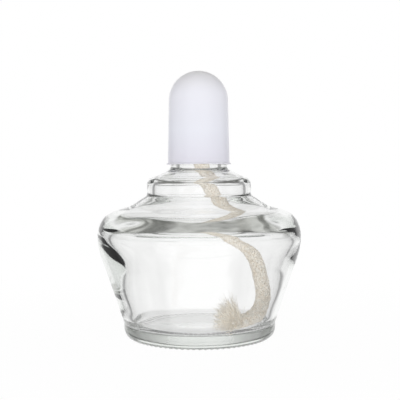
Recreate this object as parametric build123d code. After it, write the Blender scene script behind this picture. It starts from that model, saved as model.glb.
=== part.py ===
from build123d import *
import math
import os

os.makedirs("parts", exist_ok=True)

# Laboratory alcohol burner, standing on its base. Millimetres, +Z up, the
# lamp's own axis is the Z axis and the table is z = 0. The wick lies towards
# +X and -Y (right and front).

# ---- glass reservoir ----
PUNT_DEPTH = 0.8          # hollow in the middle of the underside
RING_IN = 24.0            # inner radius of the flat ring it stands on
RING_OUT = 28.1           # outer radius of that ring
HEEL_R = 30.7             # radius of the upright band above the rounded heel
HEEL_Z = 4.4              # where the rounding runs into the band
BAND_TOP = 6.0            # where the band gives way to the tapering body
BELLY_R = 41.0            # greatest radius of the lamp
BELLY_Z = 40.6            # height of the greatest radius
BROW_R = 34.0             # where the round shoulder turns hollow
BROW_Z = 50.9
COLLAR_FOOT_R = 21.6      # where the hollow shoulder meets the collar
COLLAR_FOOT_Z = 56.5
COLLAR_R = 21.0           # outside of the upright collar
COLLAR_Z = 61.8           # top of its upright part
COLLAR_BROW = 2.3         # radius of the collar's upper corner
NECK_FOOT_R = 12.4        # where the collar's sloping top meets the neck
NECK_FOOT_Z = 66.8
SEAT_R = 11.4             # small ledge that the cap comes down on
SEAT_Z = 69.3
NECK_LOW_R = 10.7         # neck radius just above the ledge
NECK_TOP_R = 10.2         # neck radius at the mouth
MOUTH_Z = 84.0
MOUTH_ROUND = 1.2         # rounding of the outer edge of the mouth
BORE_R = 7.9              # bore of the neck
BORE_LOW_Z = 68.4         # where the bore starts to open out
CEILING_R = 8.8           # upper end of the sloping ceiling inside the collar
CEILING_Z = 66.7
CEILING_EDGE_R = 15.6     # lower end of that ceiling
CEILING_EDGE_Z = 63.4
COLLAR_BORE_R = 18.1      # inside of the collar
COLLAR_BORE_TOP = 60.4
COLLAR_BORE_LOW = 57.6
SHOULDER_IN_R = 18.9      # where the inside of the shoulder starts
SHOULDER_IN_Z = 56.0
BELLY_BORE_R = 37.5       # greatest inside radius
BELLY_BORE_Z = 39.6
FLOOR_Z = 5.0             # top of the thick glass bottom
FLOOR_R = 22.6            # flat part of the inside floor

# ---- porcelain wick holder ----
FLANGE_R = 9.6            # disc that lies on the mouth of the neck
FLANGE_H = 3.0
FLANGE_ROUND = 0.9
SPIGOT_R = 7.4            # short step that centres the holder in the bore
SPIGOT_LOW = 81.6
TUBE_R = 4.9              # tube that grips the wick
TUBE_LOW = 78.0
TUBE_TOP = 94.0
TUBE_ROUND = 0.7
WICK_BORE_R = 3.06        # running fit on the wick
VENT_R = 0.5              # small breather hole through the disc
VENT_AT = 5.9             # distance of the breather from the axis

# ---- wick ----
WICK_R = 3.0
WICK_TOP = 98.0           # trimmed end, above the tube
WICK_CHAMFER = 0.5
# Route of the free wick, from the tube's lower end down to the floor: out of
# the neck to the right, down beside the wall, then forward along the floor.
ROUTE = [
    (0.0, 0.0, 78.0),
    (0.0, 0.0, 72.5),
    (1.5, -0.2, 67.2),
    (4.2, -0.6, 61.0),
    (7.2, -1.3, 53.0),
    (12.8, -2.4, 43.5),
    (20.8, -4.0, 33.2),
    (25.0, -5.0, 24.0),
    (25.2, -7.0, 15.4),
    (21.0, -12.0, 9.2),
    (14.4, -16.0, 8.2),
]
CORNER_SHARE = 0.45       # share of the shorter run that each bend takes
TUFT_MID = (9.6, -17.6, 9.9)     # middle of the frayed end
TUFT_MID_R = 4.3
TUFT_TIP = (5.4, -18.0, 11.3)    # its loose tip
TUFT_TIP_R = 5.5
TUFT_AXIS = (-0.93, -0.12, 0.34)

# ---- cap ----
CAP_DOME_R = 11.95        # outside radius of the round top
CAP_DOME_Z = 95.0         # centre of the round top
CAP_LOW_R = 12.5          # outside radius at the lower edge
CAP_LOW_Z = SEAT_Z
CAP_WALL = 1.15
CAP_IN_LOW_R = 11.2       # inside radius at the lower edge
LIP_R = 13.1              # thin lip round the lower edge
LIP_H = 0.6


def outer_profile():
    """Outside of the glass from the standing ring up to the mouth."""
    heel = ThreePointArc(
        (RING_OUT, 0),
        (RING_OUT + 0.74 * (HEEL_R - RING_OUT), 0.28 * HEEL_Z),
        (HEEL_R, HEEL_Z),
    )
    band = Line(heel @ 1, (HEEL_R, BAND_TOP))
    body = Spline(
        (HEEL_R, BAND_TOP),
        (34.7, 18.0),
        (38.2, 28.0),
        (40.4, 35.2),
        (BELLY_R, BELLY_Z),
        (40.1, 45.0),
        (37.9, 48.6),
        (BROW_R, BROW_Z),
        tangents=[(0.27, 1.0), (-1.0, 0.22)],
    )
    hollow = Spline(
        (BROW_R, BROW_Z),
        (28.6, 52.3),
        (24.9, 54.4),
        (COLLAR_FOOT_R, COLLAR_FOOT_Z),
        tangents=[(-1.0, 0.22), (-1.0, 0.65)],
    )
    foot = ThreePointArc(
        hollow @ 1,
        (COLLAR_R + 0.18, COLLAR_FOOT_Z + 0.5),
        (COLLAR_R, COLLAR_FOOT_Z + 1.4),
    )
    upright = Line(foot @ 1, (COLLAR_R, COLLAR_Z))
    brow_z = COLLAR_Z + COLLAR_BROW
    brow = ThreePointArc(
        upright @ 1,
        (COLLAR_R - 0.36 * COLLAR_BROW, COLLAR_Z + 0.7 * COLLAR_BROW),
        (COLLAR_R - COLLAR_BROW, brow_z),
    )
    slope = Line(brow @ 1, (NECK_FOOT_R + 0.9, NECK_FOOT_Z - 0.4))
    root = ThreePointArc(
        slope @ 1,
        (NECK_FOOT_R - 0.35, NECK_FOOT_Z + 0.15),
        (SEAT_R, NECK_FOOT_Z + 1.5),
    )
    below_seat = Line(root @ 1, (SEAT_R, SEAT_Z))
    seat = Line(below_seat @ 1, (NECK_LOW_R, SEAT_Z))
    neck = Line(seat @ 1, (NECK_TOP_R, MOUTH_Z - MOUTH_ROUND))
    rim = ThreePointArc(
        neck @ 1,
        (NECK_TOP_R - 0.293 * MOUTH_ROUND, MOUTH_Z - 0.293 * MOUTH_ROUND),
        (NECK_TOP_R - MOUTH_ROUND, MOUTH_Z),
    )
    return [heel, band, body, hollow, foot, upright, brow, slope, root,
            below_seat, seat, neck, rim]


def inner_profile():
    """Inside of the glass from the mouth down to the middle of the floor."""
    bore = Line((BORE_R, MOUTH_Z), (BORE_R, BORE_LOW_Z))
    throat = ThreePointArc(
        bore @ 1,
        (BORE_R + 0.25, BORE_LOW_Z - 0.9),
        (CEILING_R, CEILING_Z),
    )
    ceiling = Line(throat @ 1, (CEILING_EDGE_R, CEILING_EDGE_Z))
    ceiling_edge = ThreePointArc(
        ceiling @ 1,
        (COLLAR_BORE_R - 0.67, COLLAR_BORE_TOP + 1.65),
        (COLLAR_BORE_R, COLLAR_BORE_TOP),
    )
    upright = Line(ceiling_edge @ 1, (COLLAR_BORE_R, COLLAR_BORE_LOW))
    turn = ThreePointArc(
        upright @ 1,
        (COLLAR_BORE_R + 0.2, COLLAR_BORE_LOW - 0.9),
        (SHOULDER_IN_R, SHOULDER_IN_Z),
    )
    shoulder = Spline(
        (SHOULDER_IN_R, SHOULDER_IN_Z),
        (22.9, 52.7),
        (28.6, 48.3),
        (31.6, 46.4),
        (34.2, 44.8),
        (36.2, 43.1),
        (BELLY_BORE_R, BELLY_BORE_Z),
        tangents=[(1.0, -0.82), (0.0, -1.0)],
    )
    body = Spline(
        (BELLY_BORE_R, BELLY_BORE_Z),
        (36.7, 34.9),
        (34.0, 28.2),
        (31.7, 20.4),
        (29.0, 11.4),
        tangents=[(0.0, -1.0), (-0.3, -1.0)],
    )
    corner = Spline(
        body @ 1,
        (26.7, 6.7),
        (FLOOR_R, FLOOR_Z),
        tangents=[(-0.3, -1.0), (-1.0, 0.0)],
    )
    floor = Line(corner @ 1, (0, FLOOR_Z))
    return [bore, throat, ceiling, ceiling_edge, upright, turn, shoulder, body, corner, floor]


def make_glass():
    """Pressed-glass reservoir: body, shoulder, collar and neck in one piece."""
    outer = outer_profile()
    inner = inner_profile()
    top = Line(outer[-1] @ 1, inner[0] @ 0)
    axis = Line((0, FLOOR_Z), (0, PUNT_DEPTH))
    punt = ThreePointArc(
        (0, PUNT_DEPTH),
        (0.5 * RING_IN, 0.75 * PUNT_DEPTH),
        (RING_IN, 0),
    )
    ring = Line((RING_IN, 0), (RING_OUT, 0))
    face = make_face(outer + [top] + inner + [axis, punt, ring])
    return revolve(Plane.XZ * face, Axis.Z)


def make_holder():
    """Porcelain holder: disc on the mouth, centring step and wick tube."""
    flange_top = MOUTH_Z + FLANGE_H
    flange = Pos(0, 0, MOUTH_Z) * Cylinder(
        FLANGE_R, FLANGE_H, align=(Align.CENTER, Align.CENTER, Align.MIN))
    flange = fillet(flange.edges().filter_by(GeomType.CIRCLE), FLANGE_ROUND)
    spigot = Pos(0, 0, SPIGOT_LOW) * Cylinder(
        SPIGOT_R, flange_top - SPIGOT_LOW - FLANGE_H / 2,
        align=(Align.CENTER, Align.CENTER, Align.MIN))
    tube = Pos(0, 0, TUBE_LOW) * Cylinder(
        TUBE_R, TUBE_TOP - TUBE_LOW,
        align=(Align.CENTER, Align.CENTER, Align.MIN))
    tube = fillet(tube.edges().filter_by(GeomType.CIRCLE), TUBE_ROUND)
    bore = Pos(0, 0, TUBE_LOW - 1) * Cylinder(
        WICK_BORE_R, TUBE_TOP - TUBE_LOW + 2,
        align=(Align.CENTER, Align.CENTER, Align.MIN))
    vent = Pos(-VENT_AT, 0, SPIGOT_LOW - 1) * Cylinder(
        VENT_R, flange_top - SPIGOT_LOW + 2,
        align=(Align.CENTER, Align.CENTER, Align.MIN))
    return flange + spigot + tube - bore - vent


def make_wick_tip():
    """Straight part of the wick, held in the tube and trimmed above it."""
    tip = Pos(0, 0, TUBE_LOW) * Cylinder(
        WICK_R, WICK_TOP - TUBE_LOW,
        align=(Align.CENTER, Align.CENTER, Align.MIN))
    return chamfer(tip.edges().group_by(Axis.Z)[-1], WICK_CHAMFER)


def bend_radii(points):
    """Radius of the bend at each inner point of a route."""
    radii = []
    for before, at, after in zip(points, points[1:], points[2:]):
        run_in = Vector(*at) - Vector(*before)
        run_out = Vector(*after) - Vector(*at)
        half_turn = math.radians(run_in.get_angle(run_out)) / 2
        shorter = min(run_in.length, run_out.length)
        radii.append(CORNER_SHARE * shorter / math.tan(half_turn))
    return radii


def make_wick():
    """Free wick: straight runs joined by tangent bends, swept as one tube."""
    radii = bend_radii(ROUTE)
    print("wick bends, mm:", [round(radius, 1) for radius in radii])
    line = FilletPolyline(*ROUTE, radius=radii)
    print("free wick length, mm:", round(line.length, 1))
    start = Plane(origin=ROUTE[0], z_dir=line % 0)
    tube = sweep(start * Circle(WICK_R), path=line)
    expected = math.pi * WICK_R ** 2 * line.length
    print("tube volume over section x length:", round(tube.volume / expected, 3))
    return tube


def make_tuft():
    """Frayed lower end, where the braid opens into loose strands."""
    last_run = Vector(*ROUTE[-1]) - Vector(*ROUTE[-2])
    root = Plane(origin=ROUTE[-1], z_dir=last_run) * Circle(WICK_R)
    middle = Plane(origin=TUFT_MID, z_dir=TUFT_AXIS) * Circle(TUFT_MID_R)
    tip = Plane(origin=TUFT_TIP, z_dir=TUFT_AXIS) * Circle(TUFT_TIP_R)
    return loft([root, middle, tip])


def make_cap():
    """Plastic snuffer cap: round top, drafted wall and a thin lower lip."""
    top_z = CAP_DOME_Z + CAP_DOME_R
    slant = math.sqrt(0.5)
    in_r = CAP_DOME_R - CAP_WALL
    lip_root = (CAP_LOW_R, CAP_LOW_Z + LIP_H)
    outside = [
        Line((CAP_IN_LOW_R, CAP_LOW_Z), (LIP_R, CAP_LOW_Z)),
        Line((LIP_R, CAP_LOW_Z), (LIP_R, CAP_LOW_Z + LIP_H / 2)),
        Line((LIP_R, CAP_LOW_Z + LIP_H / 2), lip_root),
        Line(lip_root, (CAP_DOME_R, CAP_DOME_Z)),
        ThreePointArc(
            (CAP_DOME_R, CAP_DOME_Z),
            (CAP_DOME_R * slant, CAP_DOME_Z + CAP_DOME_R * slant),
            (0, top_z),
        ),
    ]
    inside = [
        Line((0, top_z), (0, top_z - CAP_WALL)),
        ThreePointArc(
            (0, top_z - CAP_WALL),
            (in_r * slant, CAP_DOME_Z + in_r * slant),
            (in_r, CAP_DOME_Z),
        ),
        Line((in_r, CAP_DOME_Z), (CAP_IN_LOW_R, CAP_LOW_Z)),
    ]
    return revolve(Plane.XZ * make_face(outside + inside), Axis.Z)


def make_fuel_space():
    """Everything inside the glass below the mouth, to work out its capacity."""
    inner = inner_profile()
    top = Line((0, MOUTH_Z), inner[0] @ 0)
    axis = Line((0, FLOOR_Z), (0, MOUTH_Z))
    return revolve(Plane.XZ * make_face([top] + inner + [axis]), Axis.Z)


NODES = {
    "glass_reservoir": make_glass(),
    "wick_holder": make_holder(),
    "wick_tip": make_wick_tip(),
    "wick": make_wick(),
    "wick_tuft": make_tuft(),
    "cap": make_cap(),
}
MM3_PER_ML = 1000
print("brimful capacity, ml:", round(make_fuel_space().volume / MM3_PER_ML, 1))
for name, shape in NODES.items():
    shape.label = name
    export_step(shape, f"parts/{name}.step")
    box = shape.bounding_box()
    print(name, box.min, box.max, "volume", round(shape.volume, 1))
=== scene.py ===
import math

import bmesh
import bpy
import numpy as np
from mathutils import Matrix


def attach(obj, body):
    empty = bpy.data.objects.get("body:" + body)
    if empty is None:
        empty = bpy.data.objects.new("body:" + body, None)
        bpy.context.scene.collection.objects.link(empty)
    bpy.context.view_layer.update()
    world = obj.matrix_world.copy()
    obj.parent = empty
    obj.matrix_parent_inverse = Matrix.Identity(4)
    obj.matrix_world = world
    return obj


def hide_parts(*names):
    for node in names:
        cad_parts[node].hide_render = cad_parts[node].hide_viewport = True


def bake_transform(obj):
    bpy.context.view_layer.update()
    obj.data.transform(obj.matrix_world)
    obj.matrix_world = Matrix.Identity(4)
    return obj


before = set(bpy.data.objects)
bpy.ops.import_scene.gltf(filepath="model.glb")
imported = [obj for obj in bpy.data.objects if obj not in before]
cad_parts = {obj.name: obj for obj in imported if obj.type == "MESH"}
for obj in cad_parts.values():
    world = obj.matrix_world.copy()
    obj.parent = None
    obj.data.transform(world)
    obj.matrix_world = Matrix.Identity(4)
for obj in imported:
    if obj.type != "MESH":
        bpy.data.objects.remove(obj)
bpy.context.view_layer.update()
MM = 0.001
rng = np.random.default_rng(7)


# ---------------------------------------------------------------- camera

CAMERA_AT = (0.00045, -0.300, 0.064)
CAMERA_PITCH = 1.75
CAMERA_ROLL = 0.35
LENS = 66.5


def make_camera():
    data = bpy.data.cameras.new("camera")
    data.lens = LENS
    data.sensor_width = 36
    camera = bpy.data.objects.new("camera", data)
    camera.location = CAMERA_AT
    camera.rotation_euler = (math.radians(90 - CAMERA_PITCH), math.radians(CAMERA_ROLL), 0)
    bpy.context.scene.collection.objects.link(camera)
    bpy.context.scene.camera = camera


make_camera()


# ---------------------------------------------------------------- helpers

def new_object(name, vertices, faces, material):
    mesh = bpy.data.meshes.new(name)
    mesh.from_pydata([tuple(v) for v in vertices], [], faces)
    mesh.polygons.foreach_set("use_smooth", [True] * len(mesh.polygons))
    mesh.materials.append(material)
    mesh.update()
    piece = bpy.data.objects.new(name, mesh)
    bpy.context.scene.collection.objects.link(piece)
    return piece


def through(points, steps):
    """Smooth line through listed points (Catmull-Rom), ends included."""
    p = np.array(points, float)
    p = np.vstack([2 * p[0] - p[1], p, 2 * p[-1] - p[-2]])
    line = []
    for i in range(1, len(p) - 2):
        a, b, c, d = p[i - 1], p[i], p[i + 1], p[i + 2]
        for t in np.linspace(0, 1, steps, endpoint=False):
            line.append(0.5 * (2 * b + (c - a) * t + (2 * a - 5 * b + 4 * c - d) * t ** 2
                               + (3 * b - a - 3 * c + d) * t ** 3))
    line.append(p[-2])
    return np.array(line)


def lathe(name, profile, turns, material, shape=None):
    """Turns a closed (r, z) profile in millimetres about the Z axis."""
    angles = np.linspace(0, 2 * math.pi, turns, endpoint=False)
    rows = len(profile)
    vertices = []
    for angle in angles:
        points = profile if shape is None else shape(profile, angle)
        for r, z in points:
            vertices.append((r * math.cos(angle) * MM, r * math.sin(angle) * MM, z * MM))
    faces = []
    for k in range(turns):
        n = (k + 1) % turns
        for i in range(rows - 1):
            faces.append((k * rows + i, n * rows + i, n * rows + i + 1, k * rows + i + 1))
    piece = new_object(name, vertices, faces, material)
    work = bmesh.new()
    work.from_mesh(piece.data)
    bmesh.ops.remove_doubles(work, verts=work.verts, dist=1e-7)
    bmesh.ops.recalc_face_normals(work, faces=work.faces)
    work.to_mesh(piece.data)
    work.free()
    return piece


def tube(points, radii, sides):
    """Vertices and faces of a closed tube along points, with one radius each."""
    points = np.array(points, float)
    count = len(points)
    tangents = np.gradient(points, axis=0)
    tangents /= np.linalg.norm(tangents, axis=1)[:, None]
    normal = np.cross(tangents[0], (0.0, 0.3, 1.0))
    if np.linalg.norm(normal) < 1e-3:
        normal = np.cross(tangents[0], (1.0, 0.0, 0.0))
    vertices, faces = [], []
    for i in range(count):
        normal = normal - tangents[i] * (normal @ tangents[i])
        normal /= np.linalg.norm(normal)
        side = np.cross(tangents[i], normal)
        for k in range(sides):
            a = 2 * math.pi * k / sides
            vertices.append(points[i] + radii[i] * (math.cos(a) * normal + math.sin(a) * side))
    for i in range(count - 1):
        for k in range(sides):
            n = (k + 1) % sides
            faces.append((i * sides + k, i * sides + n, (i + 1) * sides + n, (i + 1) * sides + k))
    faces.append(tuple(reversed(range(sides))))
    faces.append(tuple((count - 1) * sides + k for k in range(sides)))
    return vertices, faces


def merge(parts):
    vertices, faces = [], []
    for v, f in parts:
        base = len(vertices)
        vertices.extend(v)
        faces.extend(tuple(i + base for i in face) for face in f)
    return vertices, faces


# ---------------------------------------------------------------- materials

def material(name):
    made = bpy.data.materials.new(name)
    made.use_nodes = True
    nodes = made.node_tree.nodes
    return made, nodes, made.node_tree.links, nodes["Principled BSDF"]


def set_inputs(node, **inputs):
    for key, value in inputs.items():
        node.inputs[key.replace("_", " ")].default_value = value


def add(nodes, kind, **inputs):
    node = nodes.new(kind)
    set_inputs(node, **inputs)
    return node


def ramp(nodes, links, value, stops):
    """Colour looked up by a value from 0 to 1, between stops of (value, colour)."""
    node = nodes.new("ShaderNodeValToRGB")
    elements = node.color_ramp.elements
    while len(elements) < len(stops):
        elements.new(0.5)
    for element, (at, colour) in zip(elements, stops):
        element.position = at
        element.color = (*colour, 1)
    links.new(value, node.inputs["Fac"])
    return node.outputs["Color"]


def map_range(nodes, links, value, source, target=(0.0, 1.0), kind="LINEAR"):
    """Carries a value from the source range to the target range and holds it at the ends."""
    node = add(nodes, "ShaderNodeMapRange", From_Min=source[0], From_Max=source[1],
               To_Min=target[0], To_Max=target[1])
    node.interpolation_type = kind
    links.new(value, node.inputs["Value"])
    return node.outputs[0]


def coordinates(nodes, kind):
    return nodes.new("ShaderNodeTexCoord").outputs[kind]


def split(nodes, links, vector):
    """The x, y and z of a vector."""
    node = nodes.new("ShaderNodeSeparateXYZ")
    links.new(vector, node.inputs[0])
    return node.outputs


def noise(nodes, links, place, scale, detail):
    node = add(nodes, "ShaderNodeTexNoise", Scale=scale, Detail=detail)
    links.new(place, node.inputs["Vector"])
    return node.outputs["Fac"]


def bump(nodes, links, shader, height, strength, distance):
    node = add(nodes, "ShaderNodeBump", Strength=strength, Distance=distance)
    links.new(height, node.inputs["Height"])
    links.new(node.outputs[0], shader.inputs["Normal"])


# Heights between which the standing ring goes from worn to polished.
WORN_HEIGHTS = (0.5 * MM, 1.0 * MM)
WORN_ROUGHNESS = 0.45
CAP_SHADE_HEIGHTS = (70 * MM, 107 * MM)
# The cap's lavender tint from its lower edge to its top, with painted shade: darker at the lower
# edge and greyer at the dome top.
CAP_TINT_AND_SHADE_COLOURS = [(0.0, (0.72, 0.71, 0.79)), (0.35, (0.79, 0.80, 0.88)),
               (0.75, (0.82, 0.82, 0.89)), (1.0, (0.81, 0.80, 0.82))]


def glass_material():
    """Clear glass, faintly green in its depth, slightly wavy, and rough where it stands."""
    made, nodes, links, shader = material("clear_glass")
    set_inputs(shader, Base_Color=(1.0, 1.0, 1.0, 1), IOR=1.52, Transmission_Weight=1.0)
    absorb = add(nodes, "ShaderNodeVolumeAbsorption", Color=(0.66, 0.72, 0.66, 1), Density=9.0)
    links.new(absorb.outputs[0], nodes["Material Output"].inputs["Volume"])
    place = coordinates(nodes, "Object")
    bump(nodes, links, shader, noise(nodes, links, place, 55.0, 1.0), 0.12, 0.6 * MM)
    height = split(nodes, links, place)[2]
    worn = map_range(nodes, links, height, WORN_HEIGHTS, (WORN_ROUGHNESS, 0.0))
    links.new(worn, shader.inputs["Roughness"])
    return made


def cap_material():
    """Milky plastic with a fine satin grain, and painted shade that darkens its lower edge and
    greys its dome top.
    """
    made, nodes, links, shader = material("cap_plastic")
    set_inputs(shader, Roughness=0.32, IOR=1.49, Subsurface_Weight=0.35,
               Subsurface_Radius=(1.0, 1.0, 1.0), Subsurface_Scale=3 * MM)
    place = coordinates(nodes, "Object")
    bump(nodes, links, shader, noise(nodes, links, place, 900.0, 3.0), 0.15, 0.1 * MM)
    # Painted shade by height: the lavender tint darkens towards the lower edge and turns grey at
    # the dome top.
    height = map_range(nodes, links, split(nodes, links, place)[2], CAP_SHADE_HEIGHTS)
    links.new(ramp(nodes, links, height, CAP_TINT_AND_SHADE_COLOURS), shader.inputs["Base Color"])
    return made


def porcelain_material():
    made, nodes, links, shader = material("porcelain")
    set_inputs(shader, Roughness=0.18, Coat_Weight=0.6, Coat_Roughness=0.05)
    mottle = noise(nodes, links, coordinates(nodes, "Object"), 260.0, 3.0)
    colour = ramp(nodes, links, mottle, [(0.35, (0.80, 0.79, 0.74)), (0.6, (0.88, 0.87, 0.84))])
    links.new(colour, shader.inputs["Base Color"])
    return made


def cotton_material(name, dark, light):
    made, nodes, links, shader = material(name)
    set_inputs(shader, Roughness=0.9, Sheen_Weight=0.25, Sheen_Roughness=0.5)
    fuzz = noise(nodes, links, coordinates(nodes, "Object"), 700.0, 4.0)
    links.new(ramp(nodes, links, fuzz, [(0.32, dark), (0.66, light)]), shader.inputs["Base Color"])
    bump(nodes, links, shader, fuzz, 0.5, 0.15 * MM)
    return made


GLASS = glass_material()
CAP = cap_material()
PORCELAIN = porcelain_material()
COTTON = cotton_material("cotton", (0.88, 0.79, 0.67), (0.99, 0.95, 0.87))
LOOSE = cotton_material("cotton_loose", (0.95, 0.87, 0.75), (0.99, 0.96, 0.89))


# ---------------------------------------------------------------- wick

ROUTE = [
    (0.0, 0.0, 78.0),
    (0.0, 0.0, 72.5),
    (1.5, -0.2, 67.2),
    (4.2, -0.6, 61.0),
    (7.2, -1.3, 53.0),
    (12.8, -2.4, 43.5),
    (20.8, -4.0, 33.2),
    (25.0, -5.0, 24.0),
    (25.2, -7.0, 15.4),
    (21.0, -12.0, 9.2),
    (14.4, -16.0, 8.2),
]
WICK_R = 3.0 * MM
STRANDS = 10
STRAND_R = 0.56 * MM
LAY_LENGTH = 17 * MM
TIP_LOW = 78.0
TIP_TOP = 97.6


def route_line(points, resolution):
    """Points read from the NURBS spline that has these control points."""
    data = bpy.data.curves.new("route", "CURVE")
    data.dimensions = "3D"
    spline = data.splines.new("NURBS")
    spline.points.add(len(points) - 1)
    for point, (x, y, z) in zip(spline.points, points):
        point.co = (x * MM, y * MM, z * MM, 1)
    spline.order_u = 3
    spline.use_endpoint_u = True
    data.resolution_u = resolution
    holder = bpy.data.objects.new("route", data)
    bpy.context.scene.collection.objects.link(holder)
    bpy.context.view_layer.update()
    mesh = bpy.data.meshes.new_from_object(holder)
    line = np.array([v.co for v in mesh.vertices])
    bpy.data.objects.remove(holder)
    bpy.data.meshes.remove(mesh)
    return line


def frames(line):
    """Tangent and two side directions at each point, without twist."""
    tangents = np.gradient(line, axis=0)
    tangents /= np.linalg.norm(tangents, axis=1)[:, None]
    normal = np.array((1.0, 0.0, 0.0))
    normals = []
    for tangent in tangents:
        normal = normal - tangent * (normal @ tangent)
        normal /= np.linalg.norm(normal)
        normals.append(normal)
    normals = np.array(normals)
    return tangents, normals, np.cross(tangents, normals)


def braid(line):
    """Round braid along a line: two sets of strands that pass over and under."""
    tangents, normals, sides = frames(line)
    along = np.concatenate([[0], np.cumsum(np.linalg.norm(np.diff(line, axis=0), axis=1))])
    parts = [tube(line, [WICK_R - 1.5 * STRAND_R] * len(line), 16)]
    middle = WICK_R - 1.1 * STRAND_R
    for turn in (1, -1):
        for k in range(STRANDS):
            angle = turn * 2 * math.pi * along / LAY_LENGTH + 2 * math.pi * k / STRANDS
            wave = np.sin(STRANDS * 2 * math.pi * along / LAY_LENGTH + math.pi * k)
            radius = middle + turn * 0.28 * STRAND_R * wave
            points = (line + normals * (radius * np.cos(angle))[:, None]
                      + sides * (radius * np.sin(angle))[:, None])
            parts.append(tube(points, [STRAND_R] * len(line), 6))
    return merge(parts)


LINE = route_line(ROUTE, 24)
wick = new_object("wick_braid", *braid(LINE), COTTON)
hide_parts("wick")

TIP_LINE = np.array([(0, 0, z * MM) for z in np.linspace(TIP_LOW, TIP_TOP, 60)])
tip = new_object("wick_tip_braid", *braid(TIP_LINE), COTTON)
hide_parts("wick_tip")
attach(tip, "wick_end")


FIBRES = 1300
# The first of the fibres are thicker yarns.
YARNS = 60
ROOT_SPREAD = 1.1 * MM
ROOT_DEPTH = 0.8 * MM
LOWEST = 5.35 * MM
FIBRE_POINTS = 7


def tuft():
    """Loose yarns and single fibres spreading from the end of the braid."""
    root = np.array(ROUTE[-1]) * MM
    heading = np.array((-0.93, -0.25, 0.22))
    heading /= np.linalg.norm(heading)
    up = np.array((0.25, 0.05, 0.97))
    across = np.cross(heading, up)
    parts = []
    for k in range(FIBRES):
        yarn = k < YARNS
        spread = rng.normal(0, 1, 2)
        start = root + (across * spread[0] + up * spread[1]) * ROOT_SPREAD - heading * ROOT_DEPTH
        length = rng.uniform(4.5, 11.0) * MM
        aim = heading + across * rng.normal(0, 0.5) + up * (0.28 + rng.normal(0, 0.5))
        aim /= np.linalg.norm(aim)
        curl = up * rng.normal(0.12, 0.4) + across * rng.normal(0, 0.4)
        points = []
        for t in np.linspace(0, 1, FIBRE_POINTS):
            point = start + aim * length * t + curl * length * 0.5 * t * t
            point[2] = max(point[2], LOWEST)
            points.append(point)
        size = rng.uniform(0.35, 0.6) * MM if yarn else rng.uniform(0.05, 0.1) * MM
        radii = np.linspace(size, size * 0.5, FIBRE_POINTS)
        parts.append(tube(points, radii, 6 if yarn else 3))
    return merge(parts)


loose = new_object("wick_tuft_fibres", *tuft(), LOOSE)
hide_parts("wick_tuft")
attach(loose, "lamp")
loose.visible_shadow = False


# ---------------------------------------------------------------- glass

OUTSIDE = [
    (24.0, 0.0), (26.0, 0.0), (28.0, 0.0), (28.8, 0.3), (29.6, 0.9), (30.2, 1.7), (30.55, 2.9),
    (30.7, 4.4), (30.75, 6.0), (31.2, 7.4), (32.8, 12.0), (34.7, 18.0), (36.6, 23.4),
    (38.2, 28.0), (39.5, 31.8), (40.5, 35.5), (40.95, 38.9), (40.95, 41.8), (40.4, 44.3),
    (39.3, 46.8), (37.7, 48.8), (35.8, 50.1), (33.4, 51.0), (30.8, 51.6), (28.6, 52.3),
    (26.6, 53.3), (24.9, 54.4), (23.4, 55.4), (22.1, 56.2), (21.6, 56.5), (21.2, 56.9),
    (21.05, 57.4), (21.0, 58.0), (21.0, 59.4), (21.0, 61.2), (20.85, 62.3), (20.3, 63.3),
    (19.4, 63.9), (18.2, 64.3), (15.6, 65.4), (13.3, 66.4), (12.1, 67.1), (11.55, 67.9),
    (11.4, 68.7), (11.4, 69.2), (11.3, 69.3), (10.9, 69.3), (10.75, 69.5), (10.7, 70.2),
    (10.5, 76.0), (10.25, 82.4), (9.9, 83.5), (9.1, 84.0),
]
INSIDE = [
    (8.5, 84.0), (7.95, 83.6), (7.9, 82.4), (7.9, 76.0), (7.9, 70.0), (7.95, 68.4), (8.2, 67.4),
    (8.8, 66.7), (10.4, 65.9), (12.4, 65.0), (14.2, 64.1), (15.6, 63.4), (16.6, 62.8),
    (17.4, 62.0), (18.0, 61.0), (18.1, 57.6), (18.15, 57.0), (18.4, 56.5), (18.9, 56.0),
    (20.4, 54.8), (22.9, 52.7), (25.6, 50.5), (28.6, 48.3), (31.6, 46.4), (34.2, 44.8),
    (36.2, 43.1), (37.1, 41.5), (37.5, 39.8), (37.4, 37.6), (36.7, 34.9), (35.4, 31.6),
    (34.0, 28.2), (32.8, 24.4), (31.7, 20.4), (30.4, 15.8), (29.0, 11.4), (28.0, 8.6),
    (26.8, 6.7), (25.0, 5.4), (22.6, 5.0), (17.0, 5.0), (8.0, 5.0), (0.0, 5.0),
]
UNDERSIDE = [(0.0, 0.8), (6.0, 0.76), (12.0, 0.6), (18.0, 0.35), (22.0, 0.12), (24.0, 0.0)]
STEPS = 4
BEADS = 80
BEAD_H = 0.3
# Waves round the axis, as (size, number of waves, phase).
WALL_WAVES = [(0.12, 2, 0.7), (0.09, 3, -1.1)]
SHOULDER_WAVES = [(1.0, 5, 0.4), (0.7, 8, 2.1), (0.4, 12, -0.8)]
RIPPLE_H = 0.15
# Thick places of the left wall, as (depth, height, spread), and their half width in radians.
THICK_PLACES = [(2.7, 31, 8.5), (0.9, 15, 8)]
THICK_WIDTH = 0.55


def glass_profile():
    outside = np.maximum(through(OUTSIDE, STEPS), 0)
    inside = through(INSIDE, STEPS)
    underside = through(UNDERSIDE, 3)
    return np.vstack([outside, inside, underside[:-1], outside[:1]])


def waves_at(waves, angle):
    return sum(size * math.sin(count * angle + phase) for size, count, phase in waves)


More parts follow.
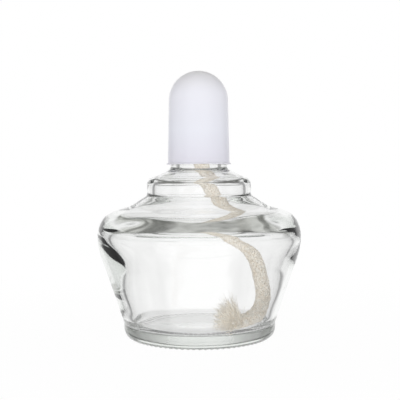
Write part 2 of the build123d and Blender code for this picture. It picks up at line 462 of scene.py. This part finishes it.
def uneven_glass(profile, angle):
    """Inside wall that wanders a little, with a thick place on the left, and beads below."""
    points = profile.copy()
    first = (len(OUTSIDE) - 1) * STEPS + 1
    last = first + (len(INSIDE) - 1) * STEPS + 1
    r, z = points[first:last, 0], points[first:last, 1]
    on_wall = np.clip((z - 6) / 6, 0, 1) * np.clip((46 - z) / 6, 0, 1)
    points[first:last, 0] = r + on_wall * waves_at(WALL_WAVES, angle) * np.cos((z - 20) / 9)
    left = abs(math.remainder(angle - math.pi, 2 * math.pi))
    thick = sum(depth * np.exp(-((z - height) / spread) ** 2)
                for depth, height, spread in THICK_PLACES)
    points[first:last, 0] -= on_wall * thick * math.exp(-(left / THICK_WIDTH) ** 2)
    on_shoulder = np.exp(-((r - 31.5) / 3.2) ** 2) * np.clip((z - 42) / 3, 0, 1)
    ripple = RIPPLE_H * on_shoulder * waves_at(SHOULDER_WAVES, angle)
    points[first:last, 1] = z + ripple * np.cos((r - 30) / 1.6 + 2 * angle)
    ring = (points[:, 1] < 0.6) & (points[:, 0] > 24.6)
    points[ring, 1] += BEAD_H * (0.5 - 0.5 * math.cos(BEADS * angle))
    return points


glass = lathe("glass_body", glass_profile(), 400, GLASS, uneven_glass)
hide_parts("glass_reservoir")
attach(glass, "lamp")
glass.visible_shadow = False


# ---------------------------------------------------------------- cap

CAP_TOP_R = 11.95
CAP_BORE_TOP_R = 10.8
CAP_BORE_LOW = (11.2, 69.4)
DOME_Z = 95.0
CAP_RIM = [(11.25, 69.3), (12.0, 69.3), (13.0, 69.3), (13.1, 69.4), (13.05, 69.6),
           (12.6, 69.85), (12.46, 70.3)]


def dome(radius, steps):
    angles = np.linspace(0, math.pi / 2, steps)
    return [(radius * math.cos(a), DOME_Z + radius * math.sin(a)) for a in angles]


def straight(low, high, shares):
    """Points on the straight line from low to high, at these shares of its length."""
    return [(low[0] + (high[0] - low[0]) * t, low[1] + (high[1] - low[1]) * t) for t in shares]


cap_line = np.array(
    CAP_RIM
    + straight(CAP_RIM[-1], (CAP_TOP_R, DOME_Z), np.linspace(0.04, 0.97, 12))
    + dome(CAP_TOP_R, 28)
    + dome(CAP_BORE_TOP_R, 24)[::-1]
    + straight((CAP_BORE_TOP_R, DOME_Z), CAP_BORE_LOW, np.linspace(0.04, 0.98, 12))
    + CAP_RIM[:1]
)
cap = lathe("cap_shell", cap_line, 160, CAP)
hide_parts("cap")
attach(cap, "cap")
cap.visible_shadow = False
cap.visible_transmission = False
holder_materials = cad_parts["wick_holder"].data.materials
holder_materials.clear()
holder_materials.append(PORCELAIN)

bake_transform(wick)


# ---------------------------------------------------------------- studio

# Brightness behind the lamp by height, as (sine of the angle above the horizon, brightness).
STUDIO = [(-1.0, 0.5), (-0.80, 0.42), (-0.72, 0.8), (-0.30, 0.97), (0.34, 0.97), (0.46, 0.42),
          (0.80, 0.32), (0.93, 0.28), (1.0, 0.4)]
# Share of that brightness by the turn away from straight behind, in degrees: dark
# flags stand between the light panels behind, at both sides and in front.
FLAGS = [(0, 1.0), (37, 1.0), (44, 0.36), (70, 0.36), (78, 0.8), (102, 0.8), (108, 0.4),
         (126, 0.4), (134, 1.0), (180, 1.0)]
# Patches overhead multiply the brightness by these, by the noise's value.
PATCHES = [(0.38, (0.5, 0.51, 0.47)), (0.62, (1.7, 1.72, 1.64))]
FRONT_LIGHT = 1.3
# Brightness is divided by this while it is mixed, and the background's strength restores it.
FULL = 2.0
FLOOR_FADE = (0.03, 0.20)
FLOOR_GLOW = (0.975, 1.0)


def math_node(nodes, links, operation, first, second=None):
    node = nodes.new("ShaderNodeMath")
    node.operation = operation
    for socket, value in zip(node.inputs, (first, second)):
        if isinstance(value, (int, float)):
            socket.default_value = value
        elif value is not None:
            links.new(value, socket)
    return node.outputs[0]


def mix_colour(nodes, links, blend, factor, first, second):
    node = nodes.new("ShaderNodeMix")
    node.data_type = "RGBA"
    node.blend_type = blend
    for key, value in (("Factor", factor), ("A", first), ("B", second)):
        if isinstance(value, (int, float, tuple)):
            node.inputs[key].default_value = value
        else:
            links.new(value, node.inputs[key])
    return node.outputs["Result"]


def make_floor():
    """White table, mostly glowing by itself, that fades into the backdrop away from the lamp."""
    made, nodes, links, shader = material("floor")
    set_inputs(shader, Base_Color=(0.95, 0.95, 0.95, 1), Roughness=0.9)
    glow = add(nodes, "ShaderNodeEmission", Strength=1.0)
    away = nodes.new("ShaderNodeVectorMath")
    away.operation = "LENGTH"
    links.new(coordinates(nodes, "Object"), away.inputs[0])
    mix = nodes.new("ShaderNodeMixShader")
    share = map_range(nodes, links, away.outputs["Value"], FLOOR_FADE, FLOOR_GLOW, "SMOOTHSTEP")
    links.new(share, mix.inputs[0])
    links.new(shader.outputs[0], mix.inputs[1])
    links.new(glow.outputs[0], mix.inputs[2])
    links.new(mix.outputs[0], nodes["Material Output"].inputs["Surface"])
    vertices = [(-3, -3, 0), (3, -3, 0), (3, 3, 0), (-3, 3, 0)]
    floor = new_object("floor", vertices, [(0, 1, 2, 3)], made)
    floor.visible_transmission = False
    floor.visible_glossy = False


def make_backdrop():
    """White sphere far behind everything, which only the camera sees."""
    made, nodes, links, _ = material("backdrop")
    glow = add(nodes, "ShaderNodeEmission", Strength=1.0)
    links.new(glow.outputs[0], nodes["Material Output"].inputs["Surface"])
    bpy.ops.mesh.primitive_uv_sphere_add(radius=4, segments=32, ring_count=16)
    sphere = bpy.context.object
    sphere.name = "backdrop"
    sphere.data.materials.append(made)
    for name in ("diffuse", "glossy", "transmission", "shadow", "volume_scatter"):
        setattr(sphere, "visible_" + name, False)


def make_world():
    """Light panels round a bright table, dimmer and patchy above, with dark flags between."""
    world = bpy.data.worlds.new("studio")
    world.use_nodes = True
    bpy.context.scene.world = world
    nodes, links = world.node_tree.nodes, world.node_tree.links
    direction = coordinates(nodes, "Generated")
    x, y, z = split(nodes, links, direction)
    half = math_node(nodes, links, "MULTIPLY", z, 0.5)
    height = math_node(nodes, links, "ADD", half, 0.5)
    by_height = ramp(nodes, links, height, [(0.5 + 0.5 * sine, (v / FULL, v / FULL, v / FULL))
                                            for sine, v in STUDIO])
    patches = ramp(nodes, links, noise(nodes, links, direction, 4.5, 2.0), PATCHES)
    overhead = map_range(nodes, links, z, (0.36, 0.5), kind="SMOOTHSTEP")
    back = mix_colour(nodes, links, "MULTIPLY", overhead, by_height, patches)
    behind = map_range(nodes, links, y, (-0.45, 0.05), kind="SMOOTHSTEP")
    front = (FRONT_LIGHT / FULL, FRONT_LIGHT / FULL, FRONT_LIGHT / FULL, 1)
    light = mix_colour(nodes, links, "MIX", behind, front, back)
    turn = math_node(nodes, links, "ARCTAN2", x, y)
    share = math_node(nodes, links, "ABSOLUTE", math_node(nodes, links, "DIVIDE", turn, math.pi))
    flags = ramp(nodes, links, share, [(degrees / 180, (v, v, v)) for degrees, v in FLAGS])
    total = mix_colour(nodes, links, "MULTIPLY", 1.0, light, flags)
    background = nodes["Background"]
    links.new(total, background.inputs["Color"])
    background.inputs["Strength"].default_value = FULL


make_floor()
make_backdrop()
make_world()
scene = bpy.context.scene
scene.view_settings.view_transform = "Standard"
scene.cycles.max_bounces = 24
scene.cycles.transmission_bounces = 24
scene.cycles.glossy_bounces = 8
scene.cycles.transparent_max_bounces = 16
